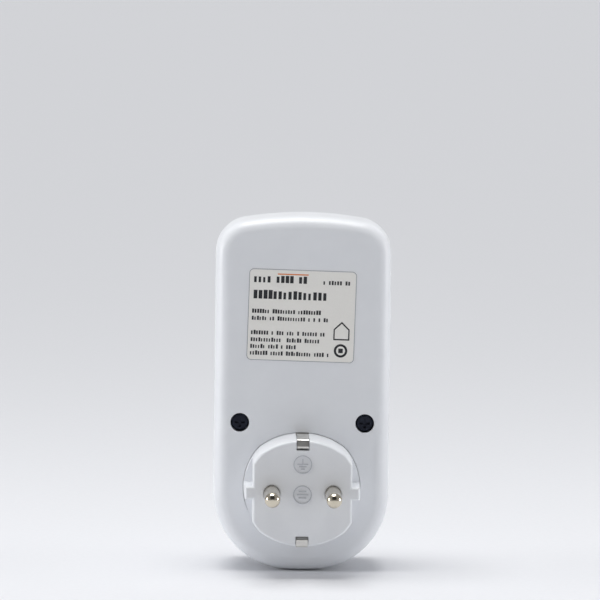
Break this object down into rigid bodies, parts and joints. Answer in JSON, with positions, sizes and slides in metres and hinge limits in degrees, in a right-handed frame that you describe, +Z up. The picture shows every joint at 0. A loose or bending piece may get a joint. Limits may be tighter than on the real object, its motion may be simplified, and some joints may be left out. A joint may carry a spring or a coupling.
{
  "type": "plug-in power meter",
  "caption": "Upright white case with a round two-pin plug on its back, and a display, keys and a deep round socket on its front, which measures what is plugged into it.",
  "frame": {"origin": "centre of the plug's engagement face, midway between the two pins", "axes": "+Y along the pins into the wall socket, +Z up along the case, -Y out of the display"},
  "size_m": [0.055, 0.075, 0.1116],
  "materials": {
    "case_abs": "satin moulded",
    "key_abs": "satin moulded",
    "bezel_abs": "gloss moulded",
    "window_acrylic": "clear",
    "label_paper": "matt film",
    "black_screw_steel": "black oxide",
    "bright_screw_steel": "zinc plated",
    "pin_nickel": "nickel plated",
    "clip_nickel": "nickel plated spring bronze",
    "strap_brass": "stamped",
    "shunt_alloy": "resistance alloy",
    "carrier_resin": "moulded",
    "shutter_acetal": "moulded",
    "board_laminate": "solder mask",
    "chip_epoxy": "moulded",
    "film_capacitor_box": "moulded",
    "varistor_epoxy": "dipped",
    "capacitor_sleeve": "shrink sleeve",
    "resistor_coat": "lacquer",
    "insulation_film": "film",
    "lcd_glass": "reflective display",
    "frame_polystyrene": "moulded",
    "zebra_silicone": "elastomer",
    "cell_steel": "nickel plated"
  },
  "bodies": {
    "case": {"rear_shell": "case_abs", "plug_body": "case_abs", "front_shell": "case_abs", "socket_well": "case_abs", "display_bezel": "bezel_abs", "display_window": "window_acrylic", "rating_label": "label_paper", "case_screws": "black_screw_steel", "plug_pin_live": "pin_nickel", "plug_pin_neutral": "pin_nickel", "pin_carrier": "carrier_resin", "plug_earth_clip_top": "clip_nickel", "plug_earth_clip_bottom": "clip_nickel", "socket_earth_clip_top": "clip_nickel", "socket_earth_clip_bottom": "clip_nickel", "earth_strap": "strap_brass", "neutral_strap": "strap_brass", "live_strap": "strap_brass", "measured_live_strap": "strap_brass", "socket_contact_live": "strap_brass", "socket_contact_neutral": "strap_brass", "contact_carrier": "carrier_resin", "carrier_screws": "bright_screw_steel", "shutter_spring": "bright_screw_steel", "power_board": "board_laminate", "power_board_screws": "bright_screw_steel", "shunt_resistor": "shunt_alloy", "mains_capacitor": "film_capacitor_box", "varistor": "varistor_epoxy", "smoothing_capacitors": "capacitor_sleeve", "fuse_resistor": "resistor_coat", "rectifier_diodes": "chip_epoxy", "metering_chip": "chip_epoxy", "board_link_header": "chip_epoxy", "insulation_sheet": "insulation_film", "display_board": "board_laminate", "display_board_screws": "bright_screw_steel", "lcd_panel": "lcd_glass", "lcd_frame": "frame_polystyrene", "zebra_strips": "zebra_silicone", "display_chip": "chip_epoxy", "clock_crystal": "bright_screw_steel", "cell_holder": "carrier_resin", "backup_cell": "cell_steel", "switch_bodies": "chip_epoxy"},
    "function_button": {"function_key": "key_abs", "function_switch_plunger": "chip_epoxy"},
    "up_button": {"up_key": "key_abs", "up_switch_plunger": "chip_epoxy"},
    "down_button": {"down_key": "key_abs", "down_switch_plunger": "chip_epoxy"},
    "cost_button": {"cost_key": "key_abs", "cost_switch_plunger": "chip_epoxy"},
    "reset_button": {"reset_key": "key_abs", "reset_switch_plunger": "chip_epoxy"},
    "shutter": {"shutter_rotor": "shutter_acetal"}
  },
  "joints": [
    {"name": "function_press", "type": "slide", "parent": "case", "child": "function_button", "axis": [0, 1, 0], "range_m": [0, 0.0005], "stiffness_N_per_m": 1500, "springref_m": -0.0002},
    {"name": "up_press", "type": "slide", "parent": "case", "child": "up_button", "axis": [0, 1, 0], "range_m": [0, 0.0005], "stiffness_N_per_m": 1500, "springref_m": -0.0002},
    {"name": "down_press", "type": "slide", "parent": "case", "child": "down_button", "axis": [0, 1, 0], "range_m": [0, 0.0005], "stiffness_N_per_m": 1500, "springref_m": -0.0002},
    {"name": "cost_press", "type": "slide", "parent": "case", "child": "cost_button", "axis": [0, 1, 0], "range_m": [0, 0.0005], "stiffness_N_per_m": 1500, "springref_m": -0.0002},
    {"name": "reset_press", "type": "slide", "parent": "case", "child": "reset_button", "axis": [0, 1, 0], "range_m": [0, 0.0005], "stiffness_N_per_m": 1500, "springref_m": -0.0002},
    {"name": "shutter_turn", "type": "hinge", "parent": "case", "child": "shutter", "pos_m": [0, -0.0357, 0], "axis": [0, 1, 0], "range_deg": [0, 40], "stiffness_Nm_per_rad": 0.004, "springref_deg": -9.74}
  ]
}
